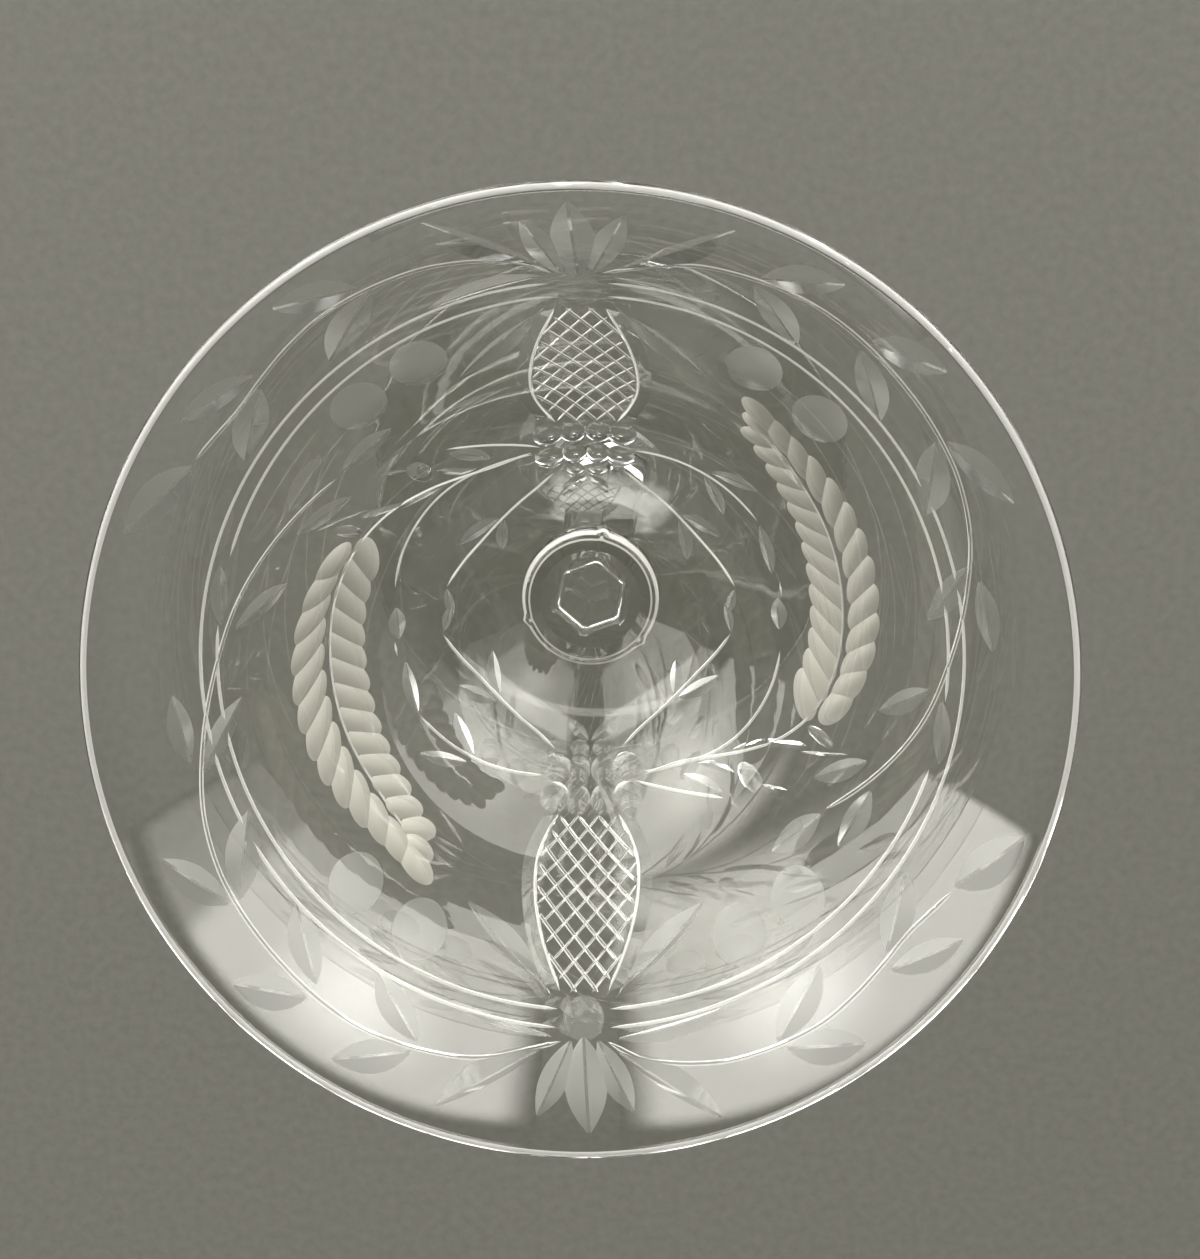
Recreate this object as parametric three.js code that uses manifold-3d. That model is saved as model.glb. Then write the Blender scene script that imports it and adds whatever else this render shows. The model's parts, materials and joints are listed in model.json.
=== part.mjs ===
// A stemmed champagne saucer in clear crystal: blown bell bowl, round collar, six-sided stem, round foot.
// Millimetres, +Z up. The origin is on the table, under the middle of the foot.

import * as THREE from "three";
import { mergeVertices } from "three/addons/utils/BufferGeometryUtils.js";
import Module from "manifold-3d";

// Heights, from the rim down to the foot
const overallHeight = 130;
const bowlHeight = 48.5;
const collarThickness = 4;
const footSeatHeight = 7;

// Bowl
const rimDiameter = 95;
const waistDiameter = 58;
const waistBelowRim = 26;
const lipWall = 1.3;
const waistWall = 1.7;
const bowlFloorThickness = 4.2;
const lipLean = 48; // degrees from upright, at the flared lip
const waistLean = 29; // degrees from upright, where the wall is steepest
const seatLean = 66; // degrees from upright, where the wall meets its seat

// Collar
const collarDiameter = 16.6;
const collarEdgeRadius = 1.1;
const bowlSeatInset = 1; // from the flat top's edge in to the bowl
const stemSeatInset = 1.7; // from the flat underside's edge in to the stem
const seamNubRadius = 0.4;
const seamNubCount = 3;

// Stem
const stemSides = 6;
const stemFootSeatDiameter = 13;
const heelHeight = 6; // from the seat on the foot up to the straight part of the panels
const neckHeight = 3.4; // from the seat under the collar down to the same
const neckRise = 0.8; // height in which the blank opens out to its upper seat
const flatAtNeck = 7.3; // across the flats at the upper end of a panel
const flatAtWaist = 6.2;
const flatAtHeel = 7.8;
const blankAllowance = 0.1; // how far the round blank stands outside the edges of the panels
const neckLean = 2; // degrees from upright, at each end of the slim part and at the seat on the foot
const heelLean = 4;
const footFlareLean = 60;
const heelEndRadius = 7; // a panel curves out on this radius at the heel, and on the next at the neck
const neckEndRadius = 3.7;
const heelEndTurn = 60; // degrees of those curves
const neckEndTurn = 70;
const stemTurn = 19; // degrees from +X to the first edge of the stem

// Foot
const footDiameter = 68;
const footEdgeThickness = 2.2;
const footSeatLedge = 1; // from the stem out to the edge of its seat
const edgeSlope = 4; // degrees from level, at the outer edge of the upper side
const shoulderSlope = 26; // degrees from level, at the stem's seat
const restingRingWidth = 4;
const hollowHeight = 1.8; // how far the middle of the underside is off the table
const hollowSlope = 20; // degrees from level, where the hollow leaves the resting ring

// Smoothness
const turnSegments = 72;
const wallSteps = 9;
const flareSteps = 6;
const roundSteps = 4;

const wasm = await Module();
wasm.setup();

const rimRadius = rimDiameter / 2;
const collarTop = overallHeight - bowlHeight;
const stemTop = collarTop - collarThickness;
const collarFlatRadius = collarDiameter / 2 - collarEdgeRadius;
const degrees = Math.PI / 180;

const crystal = { color: 0xdfe3e1, roughness: 0.04, metalness: 0 };

const point = (x, y) => new THREE.Vector2(x, y);

// A direction in the profile plane that leans from upright, towards the outside
const leaning = (angle) => point(Math.sin(angle * degrees), Math.cos(angle * degrees));

// A smooth run between two points that leaves and arrives along the given directions
function sweep(from, leave, to, arrive, steps) {
  const reach = from.distanceTo(to) / 3;
  const first = from.clone().addScaledVector(leave, reach);
  const second = to.clone().addScaledVector(arrive, -reach);
  return new THREE.CubicBezierCurve(from, first, second, to).getPoints(steps);
}

function arc(centre, radius, fromAngle, toAngle, steps) {
  const clockwise = toAngle < fromAngle;
  const curve = new THREE.EllipseCurve(
    centre.x, centre.y, radius, radius, fromAngle * degrees, toAngle * degrees, clockwise);
  return curve.getPoints(steps);
}

// Joins runs of points into one profile, dropping each point that repeats the one before it
function joined(...runs) {
  const tooClose = 1e-5;
  const points = runs.flat();
  return points.filter((p, i) => i === 0 || p.distanceTo(points[i - 1]) > tooClose);
}

// Turns a profile, listed from the bottom of the axis round the outside to its top, about +Z
function turned(profile) {
  return new THREE.LatheGeometry(profile, turnSegments).rotateX(Math.PI / 2);
}

function solid(geometry) {
  const bare = geometry.clone();
  bare.deleteAttribute("normal");
  bare.deleteAttribute("uv");
  const merged = mergeVertices(bare, 1e-4);
  return new wasm.Manifold(new wasm.Mesh({
    numProp: 3,
    vertProperties: new Float32Array(merged.attributes.position.array),
    triVerts: new Uint32Array(merged.index.array),
  }));
}

function geometryOf(manifold) {
  const mesh = manifold.getMesh();
  const geometry = new THREE.BufferGeometry();
  geometry.setAttribute("position", new THREE.BufferAttribute(mesh.vertProperties, 3));
  geometry.setIndex(new THREE.BufferAttribute(mesh.triVerts, 1));
  geometry.computeVertexNormals();
  return geometry;
}

function glassPiece(name, geometry) {
  const piece = new THREE.Mesh(geometry, new THREE.MeshStandardMaterial(crystal));
  piece.name = name;
  return piece;
}

// Bowl: the outside climbs from the seat through the steep waist to the flared lip, the lip is a half
// round, and the inside comes back down to a floor that is level in the middle
function bowl() {
  const seat = point(collarFlatRadius - bowlSeatInset, collarTop);
  const waist = point(waistDiameter / 2, overallHeight - waistBelowRim);
  const lipLevel = overallHeight - lipWall / 2;
  const lipAcross = leaning(lipLean + 90);
  const lipCentre = point(rimRadius - lipWall / 2, lipLevel);
  const lipOutside = lipCentre.clone().addScaledVector(lipAcross, lipWall / 2);
  const lipInside = lipCentre.clone().addScaledVector(lipAcross, -lipWall / 2);
  const waistInside = waist.clone().addScaledVector(leaning(waistLean + 90), -waistWall);
  const floor = point(0, collarTop + bowlFloorThickness);

  const outside = joined(
    sweep(seat, leaning(seatLean), waist, leaning(waistLean), wallSteps),
    sweep(waist, leaning(waistLean), lipOutside, leaning(lipLean), wallSteps));
  const lip = arc(lipCentre, lipWall / 2, -lipLean, 180 - lipLean, roundSteps);
  const down = (angle) => leaning(angle).negate();
  const inside = joined(
    sweep(lipInside, down(lipLean), waistInside, down(waistLean), wallSteps),
    sweep(waistInside, down(waistLean), floor, point(-1, 0), wallSteps));
  return turned(joined([point(0, collarTop)], outside, lip, inside));
}

// Collar: a flat button with a round edge, and a nub where each mould seam crosses that edge
function collar() {
  const upper = point(collarFlatRadius, collarTop - collarEdgeRadius);
  const lower = point(collarFlatRadius, stemTop + collarEdgeRadius);
  const button = turned(joined(
    [point(0, stemTop)],
    arc(lower, collarEdgeRadius, -90, 0, roundSteps),
    arc(upper, collarEdgeRadius, 0, 90, roundSteps),
    [point(0, collarTop)]));

  let body = solid(button);
  for (let i = 0; i < seamNubCount; i += 1) {
    const angle = (stemTurn + 360 / stemSides + (i * 360) / seamNubCount) * degrees;
    const nub = new THREE.CapsuleGeometry(
      seamNubRadius, collarThickness - 2 * collarEdgeRadius, roundSteps, 2 * roundSteps);
    nub.rotateX(Math.PI / 2);
    nub.translate(collarDiameter / 2 * Math.cos(angle), collarDiameter / 2 * Math.sin(angle),
      (collarTop + stemTop) / 2);
    body = body.add(solid(nub));
  }
  return geometryOf(body);
}

// Stem: a round blank that flares into its seat on the foot and opens to a disc under the collar, with a
// long flat panel sunk into each side. Each panel is slightly hollow along its length. At the heel it runs
// out in a pointed arch, and at the neck it sweeps out under the disc, which keeps the hexagon to the end.
function stem() {
  const middle = (stemTop + footSeatHeight) / 2;
  const neck = stemTop - neckHeight;
  const heel = footSeatHeight + heelHeight;
  const upright = point(0, 1);
  const blankAt = (flat, height) =>
    point(flat / 2 / Math.cos(Math.PI / stemSides) + blankAllowance, height);
  const footSeat = point(stemFootSeatDiameter / 2, footSeatHeight);
  const topSeat = point(collarFlatRadius - stemSeatInset, stemTop);
  const blankHeel = blankAt(flatAtHeel, heel);
  const blankWaist = blankAt(flatAtWaist, middle);
  const blankNeck = blankAt(flatAtNeck, neck);
  const blank = turned(joined(
    [point(0, footSeatHeight)],
    sweep(footSeat, leaning(-footFlareLean), blankHeel, leaning(-heelLean), flareSteps),
    sweep(blankHeel, leaning(-heelLean), blankWaist, upright, roundSteps),
    sweep(blankWaist, upright, blankNeck, leaning(neckLean), roundSteps),
    [point(topSeat.x, neck + neckRise), topSeat, point(0, stemTop)]));

  const panelHeel = point(flatAtHeel / 2, heel);
  const panelWaist = point(flatAtWaist / 2, middle);
  const panelNeck = point(flatAtNeck / 2, neck);
  const heelCentre = point(panelHeel.x + heelEndRadius, heel);
  const neckCentre = point(panelNeck.x + neckEndRadius, neck);
  const heelRun = arc(heelCentre, heelEndRadius, 180 + heelEndTurn, 180, flareSteps);
  const neckRun = arc(neckCentre, neckEndRadius, 180, 180 - neckEndTurn, flareSteps);
  const beyond = Math.max(topSeat.x, footSeat.x, heelCentre.x, neckCentre.x);
  const outline = joined(
    heelRun,
    sweep(panelHeel, upright, panelWaist, upright, wallSteps),
    sweep(panelWaist, upright, panelNeck, upright, wallSteps),
    neckRun,
    [point(beyond, neckRun.at(-1).y), point(beyond, heelRun[0].y)]);

  // The outline lies in the plane of +X and +Z, and the cutter reaches past both sides of the blank
  const cutter = new THREE.ExtrudeGeometry(new THREE.Shape(outline), {
    depth: 2 * beyond, steps: 1, bevelEnabled: false,
  });
  cutter.translate(0, 0, -beyond).rotateX(Math.PI / 2);

  let body = solid(blank);
  for (let i = 0; i < stemSides; i += 1) {
    const side = cutter.clone().rotateZ((stemTurn + (i + 0.5) * (360 / stemSides)) * degrees);
    body = body.subtract(solid(side));
  }
  return geometryOf(body);
}

// Foot: a thin rounded edge, an upper side that sweeps up to the stem's seat, and a hollow underside that
// leaves a flat ring to stand on
function foot() {
  const edgeRadius = footEdgeThickness / 2;
  const edgeCentre = point(footDiameter / 2 - edgeRadius, edgeRadius);
  const edgeTop = point(edgeCentre.x, footEdgeThickness);
  const shoulder = point(stemFootSeatDiameter / 2 + footSeatLedge, footSeatHeight);
  const ringInside = point(edgeCentre.x - restingRingWidth, 0);
  const hollow = point(0, hollowHeight);
  const underside = sweep(hollow, leaning(90), ringInside, leaning(90 + hollowSlope), wallSteps);
  const upperSide = sweep(
    edgeTop, leaning(edgeSlope - 90), shoulder, leaning(shoulderSlope - 90), wallSteps);
  return turned(joined(
    underside,
    arc(edgeCentre, edgeRadius, -90, 90, roundSteps),
    upperSide,
    [point(0, footSeatHeight)]));
}

const glass = new THREE.Group();
glass.add(
  glassPiece("bowl", bowl()),
  glassPiece("collar", collar()),
  glassPiece("stem", stem()),
  glassPiece("foot", foot()),
);

export default glass;
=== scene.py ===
# %% [markdown]
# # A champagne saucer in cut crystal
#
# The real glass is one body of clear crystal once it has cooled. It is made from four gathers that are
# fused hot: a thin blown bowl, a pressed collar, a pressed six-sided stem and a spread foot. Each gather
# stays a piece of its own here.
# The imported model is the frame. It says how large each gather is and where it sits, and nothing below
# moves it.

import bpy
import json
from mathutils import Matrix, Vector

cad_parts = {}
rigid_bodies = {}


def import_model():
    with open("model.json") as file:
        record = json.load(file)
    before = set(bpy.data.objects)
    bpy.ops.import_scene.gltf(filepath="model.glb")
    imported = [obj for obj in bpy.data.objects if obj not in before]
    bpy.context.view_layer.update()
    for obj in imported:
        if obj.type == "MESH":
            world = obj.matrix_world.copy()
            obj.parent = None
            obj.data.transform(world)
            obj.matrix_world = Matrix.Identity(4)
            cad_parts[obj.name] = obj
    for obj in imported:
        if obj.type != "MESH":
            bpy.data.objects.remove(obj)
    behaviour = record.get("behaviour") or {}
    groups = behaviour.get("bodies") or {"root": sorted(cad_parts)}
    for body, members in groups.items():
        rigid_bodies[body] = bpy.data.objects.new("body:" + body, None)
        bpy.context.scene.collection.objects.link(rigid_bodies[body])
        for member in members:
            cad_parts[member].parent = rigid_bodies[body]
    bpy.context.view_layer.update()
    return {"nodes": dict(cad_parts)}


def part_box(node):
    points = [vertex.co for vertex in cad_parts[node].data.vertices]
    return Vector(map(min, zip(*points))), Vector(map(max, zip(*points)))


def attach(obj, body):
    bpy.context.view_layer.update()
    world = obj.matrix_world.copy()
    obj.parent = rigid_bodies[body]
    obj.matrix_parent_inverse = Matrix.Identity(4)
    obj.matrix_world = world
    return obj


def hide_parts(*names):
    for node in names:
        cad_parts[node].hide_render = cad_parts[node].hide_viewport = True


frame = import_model()
print("pieces in the frame:", sorted(frame["nodes"]))

# %% [markdown]
# ## Sizes
#
# A glassmaker thinks in millimetres and Blender in metres, so every size below is written in millimetres
# and multiplied by MM where it enters a mesh. The heights and the widest radii are read from the frame,
# so that a change there carries through.

# %% Read the main sizes from the frame
import json
import math

import bpy
import numpy as np
from mathutils import Matrix, Vector
from mathutils.kdtree import KDTree

MM = 0.001

bowl_low, bowl_high = (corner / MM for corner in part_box("bowl"))
stem_low, stem_high = (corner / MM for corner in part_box("stem"))
_, foot_high = (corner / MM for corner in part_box("foot"))

rim_radius, rim_height = bowl_high.x, bowl_high.z
collar_top = bowl_low.z
stem_top, foot_seat_height = stem_high.z, stem_low.z
foot_radius = foot_high.x
print(f"rim {2 * rim_radius:.1f} mm across at {rim_height:.1f} mm, collar top at {collar_top:.1f} mm")
print(f"stem from {foot_seat_height:.1f} to {stem_top:.1f} mm, foot {2 * foot_radius:.1f} mm across")

# %% [markdown]
# ## Crystal in its finishes
#
# All of the glass is the same lead crystal, and what differs is how each skin was made. Blown glass that
# was turned in its mould keeps a slow ripple and faint level lines. Pressed glass keeps a closer ripple.
# A wheel leaves facets: a few are polished bright, most leaves keep a satin skin, and the laurel and the
# fine lines stay ground and matt. Each finish is one shader with its constants on its own sockets, and only
# the relief comes from a texture, because clear glass is read by bent reflections and not by colour.

# %% Functions for colours, nodes and materials
def linear(hex_colour):
    """An sRGB hex colour as the linear colour that a shader's socket takes."""
    channels = [int(hex_colour[i:i + 2], 16) / 255 for i in (1, 3, 5)]
    return (*(c / 12.92 if c <= 0.04045 else ((c + 0.055) / 1.055) ** 2.4 for c in channels), 1.0)


def add_node(tree, kind, inputs, **settings):
    """Adds a node, sets its own settings, and sets or links the sockets that are named."""
    node = tree.nodes.new(kind)
    for name, value in settings.items():
        setattr(node, name, value)
    for socket, value in inputs.items():
        if isinstance(value, bpy.types.NodeSocket):
            tree.links.new(value, node.inputs[socket])
        else:
            node.inputs[socket].default_value = value
    return node


def new_material(name):
    """A material with no nodes yet, and its node tree."""
    material = bpy.data.materials.new(name)
    material.use_nodes = True
    material.node_tree.nodes.clear()
    return material, material.node_tree


crystal_ior = 1.54
crystal_colour = linear("#F3F3F1")
shadow_colour = linear("#F2F3F2")
print("lead crystal, IOR", crystal_ior, "and colour", [round(c, 3) for c in crystal_colour[:3]])


# %% Crystal with a rippled skin
mirror_limit = 3


def per_metre(size_mm):
    """The scale of a texture whose features are about that size."""
    return 1 / (size_mm * MM)


def light_through(tree, shader, mirrored=mirror_limit):
    """Lets lamps shine through with a small loss, so that the glass casts the pale shadow of clear glass.
    A ray that was mirrored so many times is let out as well, because the renderer gives it up after four
    and would leave a black spot."""
    path = add_node(tree, "ShaderNodeLightPath", {})
    trapped = add_node(tree, "ShaderNodeMath", {0: path.outputs["Glossy Depth"], 1: mirrored - 0.5},
                       operation="GREATER_THAN")
    let_out = add_node(tree, "ShaderNodeMath", {0: path.outputs["Is Shadow Ray"], 1: trapped.outputs[0]},
                       operation="MAXIMUM")
    pane = add_node(tree, "ShaderNodeBsdfTransparent", {"Color": shadow_colour})
    split = add_node(tree, "ShaderNodeMixShader", {
        0: let_out.outputs[0], 1: shader.outputs["BSDF"], 2: pane.outputs["BSDF"]})
    add_node(tree, "ShaderNodeOutputMaterial", {"Surface": split.outputs["Shader"]})


def rippled_crystal(name, roughness, ripple_mm, level_lines_mm, relief_mm, mirrored=mirror_limit, clear=1.0):
    """Clear crystal whose skin rolls slowly, with closer lines lying level where the mould turned."""
    material, tree = new_material(name)
    place = add_node(tree, "ShaderNodeTexCoord", {})
    flattened = add_node(tree, "ShaderNodeMapping", {
        "Vector": place.outputs["Object"],
        "Scale": (per_metre(ripple_mm), per_metre(ripple_mm), per_metre(level_lines_mm)),
    })
    skin = add_node(tree, "ShaderNodeTexNoise", {"Vector": flattened.outputs["Vector"], "Scale": 1.0,
                                                 "Detail": 1.0})
    relief = add_node(tree, "ShaderNodeBump", {"Height": skin.outputs["Fac"], "Distance": relief_mm * MM,
                                               "Strength": 1.0})
    shader = add_node(tree, "ShaderNodeBsdfPrincipled", {
        "Base Color": crystal_colour,
        "Transmission Weight": clear,
        "IOR": crystal_ior,
        "Roughness": roughness,
        "Normal": relief.outputs["Normal"],
    })
    light_through(tree, shader, mirrored)
    return material


# Blown crystal, turned in the mould: a bright skin whose reflections waver along level lines
blown_crystal = rippled_crystal("blown_crystal_fire_polished", 0.0, 22.0, 2.4, 0.004)
# Pressed crystal: a bright skin with the closer, rounder ripple of an iron mould. Light is mirrored from
# side to side in the narrow stem, so a ray may stay in it one turn longer
pressed_crystal = rippled_crystal("pressed_crystal_fire_polished", 0.01, 3.0, 3.0, 0.02, mirrored=4)
# Spread foot: worked flat with a paddle, so it rolls more slowly than the bowl
foot_crystal = rippled_crystal("spread_crystal_fire_polished", 0.0, 14.0, 14.0, 0.006)
# Wheel-cut and polished: clean facets that flash, with only a trace of the wheel's grain
polished_cut = rippled_crystal("wheel_cut_crystal_polished", 0.01, 1.2, 1.2, 0.001, clear=0.92)
# Wheel-cut and half polished: the leaves keep a satin skin, so each facet has one even tone
satin_cut = rippled_crystal("wheel_cut_crystal_satin", 0.28, 1.2, 1.2, 0.001, clear=0.97)
clear_finishes = (blown_crystal, pressed_crystal, foot_crystal, polished_cut, satin_cut)
print("clear finishes:", *(finish.name for finish in clear_finishes))

# %% Ground crystal, and the seams that vanish
# Grit is drawn coarser than a real stone leaves, so that a trace of it shows in the render
grit_size, grit_relief = 0.3, 0.02


def ground_and_highlight_crystal(name, colour, roughness, clear):
    """Crystal left rough from the wheel: a fine matt skin that scatters light and looks white. The same skin
    in near white also carries the painted highlight of the lip and the collar's edge.
    """
    material, tree = new_material(name)
    place = add_node(tree, "ShaderNodeTexCoord", {})
    grit = add_node(tree, "ShaderNodeTexNoise", {"Vector": place.outputs["Object"],
                                                 "Scale": per_metre(grit_size), "Detail": 2.0})
    relief = add_node(tree, "ShaderNodeBump", {"Height": grit.outputs["Fac"], "Distance": grit_relief * MM,
                                               "Strength": 0.4})
    shader = add_node(tree, "ShaderNodeBsdfPrincipled", {
        "Base Color": linear(colour),
        "Transmission Weight": clear,
        "IOR": crystal_ior,
        "Roughness": roughness,
        "Normal": relief.outputs["Normal"],
    })
    light_through(tree, shader)
    return material


def vanished_seam(name):
    """Where two gathers were fused there is no surface left, so these faces let every ray through."""
    material = bpy.data.materials.new(name)
    material.use_nodes = True
    shader = material.node_tree.nodes["Principled BSDF"]
    shader.inputs["Alpha"].default_value = 0.0
    return material


# Broad laurel leaves are left grey from the stone: matt, even and paler than the clear wall
ground_cut = ground_and_highlight_crystal("wheel_cut_crystal_ground_grey", "#BAB8B0", 0.5, 0.2)
# Fine lines are left rough from a narrow wheel: they look whiter than the broad leaves
ground_line = ground_and_highlight_crystal("wheel_cut_crystal_ground_white", "#F8F8F6", 0.5, 0.35)
# The lip is painted white: a painted highlight for the light that the wall gathers into its rounded edge
lip_highlight = ground_and_highlight_crystal("crystal_lip_painted_highlight", "#FBFBFA", 0.2, 0.4)
fused_seam = vanished_seam("fused_crystal_seam")
print("other finishes:", *(finish.name for finish in (ground_cut, ground_line, lip_highlight, fused_seam)))

# %% [markdown]
# ## Drawing a half-section and spinning it
#
# Every gather but the stem's panels is round, so each starts as a half-section drawn with Bezier curves,
# as on a glassmaker's drawing. Each curve leaves one point and reaches the next in a given direction, and
# its handles are a third of the distance long. The curves become edges, the edges are spun about the
# upright axis, and the doubles where the spin closes are merged before the normals are set outwards.

# %% Helpers that draw and spin a half-section
round_segments = 240
weld = 0.001 * MM


def leaning(angle):
    """A direction in the half-section, leaning outwards from upright by that many degrees."""
    return np.array([math.sin(math.radians(angle)), math.cos(math.radians(angle))])


def sweep(start, leave, end, arrive, steps):
    """A smooth run between two points: its four control points and its number of steps."""
    start, end = np.array(start, float), np.array(end, float)
    reach = np.linalg.norm(end - start) / 3
    return [start, start + leave * reach, end - arrive * reach, end], steps


def straight(start, end):
    """A straight run between two points, in one step."""
    ahead = np.subtract(end, start) / np.linalg.norm(np.subtract(end, start))
    return sweep(start, ahead, end, ahead, 1)


def quarter_round(centre, radius, first, steps):
    """A quarter circle that starts at an angle from level and turns anticlockwise."""
    turns = np.radians([first, first + 90])
    start, end = (np.array(centre) + radius * np.array([math.cos(t), math.sin(t)]) for t in turns)
    leave, arrive = (np.array([-math.sin(t), math.cos(t)]) for t in turns)
    reach = 4 / 3 * math.tan(math.pi / 8) * radius
    return [start, start + leave * reach, end - arrive * reach, end], steps


def select_only(piece):
    """Makes the piece the one that the next operator acts on."""
    bpy.ops.object.select_all(action="DESELECT")
    bpy.context.view_layer.objects.active = piece
    piece.select_set(True)


def spun(name, runs):
    """Draws the runs in the XZ plane, turns them into edges and spins them into a closed piece."""
    drawing = bpy.data.curves.new(name, "CURVE")
    drawing.dimensions = "3D"
    for controls, steps in runs:
        spline = drawing.splines.new("BEZIER")
        spline.bezier_points.add(1)
        spline.resolution_u = steps
        start, end = spline.bezier_points
        places = [Vector((radius * MM, 0, height * MM)) for radius, height in controls]
        start.handle_left, start.co, start.handle_right = places[0], places[0], places[1]
        end.handle_left, end.co, end.handle_right = places[2], places[3], places[3]
    piece = bpy.data.objects.new(name, drawing)
    bpy.context.scene.collection.objects.link(piece)
    select_only(piece)
    bpy.ops.object.convert(target="MESH")
    bpy.ops.object.mode_set(mode="EDIT")
    bpy.ops.mesh.select_all(action="SELECT")
    bpy.ops.mesh.remove_doubles(threshold=weld)
    bpy.ops.mesh.spin(steps=round_segments, angle=math.tau, center=(0, 0, 0), axis=(0, 0, 1))
    bpy.ops.mesh.select_all(action="SELECT")
    bpy.ops.mesh.remove_doubles(threshold=weld)
    bpy.ops.mesh.normals_make_consistent(inside=False)
    bpy.ops.object.mode_set(mode="OBJECT")
    return bpy.context.object


print("sections are spun in", round_segments, "steps")


# %% Helpers that read and move a piece's points in millimetres
near = 0.01


def points_of(piece):
    """The piece's points, one row each, in millimetres."""
    places = np.empty(3 * len(piece.data.vertices))
    piece.data.vertices.foreach_get("co", places)
    return places.reshape(-1, 3) / MM


def move_points(piece, places):
    """Puts the piece's points at new places, in millimetres."""
    piece.data.vertices.foreach_set("co", (np.asarray(places) * MM).ravel())
    piece.data.update()


def give_finish(piece, finish, seats):
    """Gives a piece its finish, and the vanished seam on its seats, each given as (height, radius)."""
    piece.data.materials.append(finish)
    piece.data.materials.append(fused_seam)
    places = points_of(piece)
    for face in piece.data.polygons:
        corners = places[list(face.vertices)]
        spread = np.hypot(corners[:, 0], corners[:, 1]).max()
        for height, radius in seats:
            if abs(corners[:, 2] - height).max() < near and spread < radius + near:
                face.material_index = 1


def shade(piece, angle):
    """Smooth shading everywhere but on edges sharper than the angle."""
    select_only(piece)
    bpy.ops.object.shade_smooth_by_angle(angle=math.radians(angle))


print("points closer than", weld / MM, "mm are welded, and", near, "mm counts as the same place")

# %% [markdown]
# ## The bowl
#
# The bowl is a thin bell: it leaves its seat at a low angle, turns steep at the waist and flares again to
# a rounded lip. The wall is 1.3 mm at the lip and thickens to a heavy floor. It could be modelled as one
# skin with a Solidify modifier, but the wall's thickness changes along it, so both sides are drawn. The top
# of the lip shows as a white line all round the glass, so a strip of its faces is painted white, a painted
# highlight for the light that the wall gathers into the lip.

# %% Spin the bowl
bowl_seat_radius = 6.2
waist_radius, waist_below_rim = 29.0, 26.0
lip_wall, waist_wall, floor_thickness = 1.3, 1.7, 4.2
lip_lean, waist_lean, seat_lean = 48, 29, 66
wall_steps, upper_inside_steps, round_steps = 26, 22, 8

bowl_seat = (bowl_seat_radius, collar_top)
waist = np.array([waist_radius, rim_height - waist_below_rim])
waist_inside = waist - waist_wall * leaning(waist_lean + 90)
lip_centre = np.array([rim_radius - lip_wall / 2, rim_height - lip_wall / 2])
lip_outside = lip_centre + lip_wall / 2 * leaning(lip_lean + 90)
lip_inside = lip_centre - lip_wall / 2 * leaning(lip_lean + 90)
bowl_floor = (0, collar_top + floor_thickness)

lower_wall = sweep(bowl_seat, leaning(seat_lean), waist, leaning(waist_lean), wall_steps)
upper_wall = sweep(waist, leaning(waist_lean), lip_outside, leaning(lip_lean), wall_steps)
lip_rounds = [quarter_round(lip_centre, lip_wall / 2, first - lip_lean, round_steps) for first in (0, 90)]
upper_inside = sweep(lip_inside, -leaning(lip_lean), waist_inside, -leaning(waist_lean), upper_inside_steps)
lower_inside = sweep(waist_inside, -leaning(waist_lean), bowl_floor, -leaning(90), wall_steps)

bowl_skin = [lower_wall, upper_wall, *lip_rounds, upper_inside, lower_inside]
bowl = spun("bowl_glass", [straight((0, collar_top), bowl_seat), *bowl_skin])
give_finish(bowl, blown_crystal, [(collar_top, bowl_seat_radius)])
print("bowl before cutting:", len(bowl.data.polygons), "faces")

# %% Paint the top of the lip with its white highlight
line_from, line_to = 58, 105  # degrees round the section of the lip, from level
bowl.data.materials.append(lip_highlight)
lip_index = len(bowl.data.materials) - 1
# The faces of this strip get the painted white highlight
for face in bowl.data.polygons:
    x, y, z = face.center / MM
    across, up = math.hypot(x, y) - lip_centre[0], z - lip_centre[1]
    on_lip = math.hypot(across, up) > 0.95 * lip_wall / 2 and up > 0
    if on_lip and line_from < math.degrees(math.atan2(up, across)) < line_to:
        face.material_index = lip_index
print(sum(face.material_index == lip_index for face in bowl.data.polygons), "faces in the lip's white line")

# %% [markdown]
# ## Laying out the cutting
#
# The ornament is wheel cutting on the outside of the bowl, two equal motifs half a turn apart. Its layout
# is easiest to write as a cutter marks it on the wall: degrees around from the middle of the motif, and
# millimetres down the wall from the lip. One function turns such a mark into a place on the wall.

# %% Find a place on the outer wall
def along(controls, count):
    """Points along a Bezier run."""
    t = np.linspace(0, 1, count)[:, None]
    a, b, c, d = controls
    return (1 - t) ** 3 * a + 3 * (1 - t) ** 2 * t * b + 3 * (1 - t) * t ** 2 * c + t ** 3 * d


wall_marks = 300
wall_line = np.vstack([along(upper_wall[0], wall_marks)[::-1], along(lower_wall[0], wall_marks)[-2::-1]])
wall_down = np.concatenate([[0], np.cumsum(np.linalg.norm(np.diff(wall_line, axis=0), axis=1))])
wall_ahead = np.gradient(wall_line, axis=0)
wall_ahead /= np.linalg.norm(wall_ahead, axis=1)[:, None]
wall_out = np.stack([-wall_ahead[:, 1], wall_ahead[:, 0]], axis=1)
motif_angle = 270


def wall_radius(down):
    """The radius of the wall, that many millimetres down from the lip."""
    return np.interp(down, wall_down, wall_line[:, 0])


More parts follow.
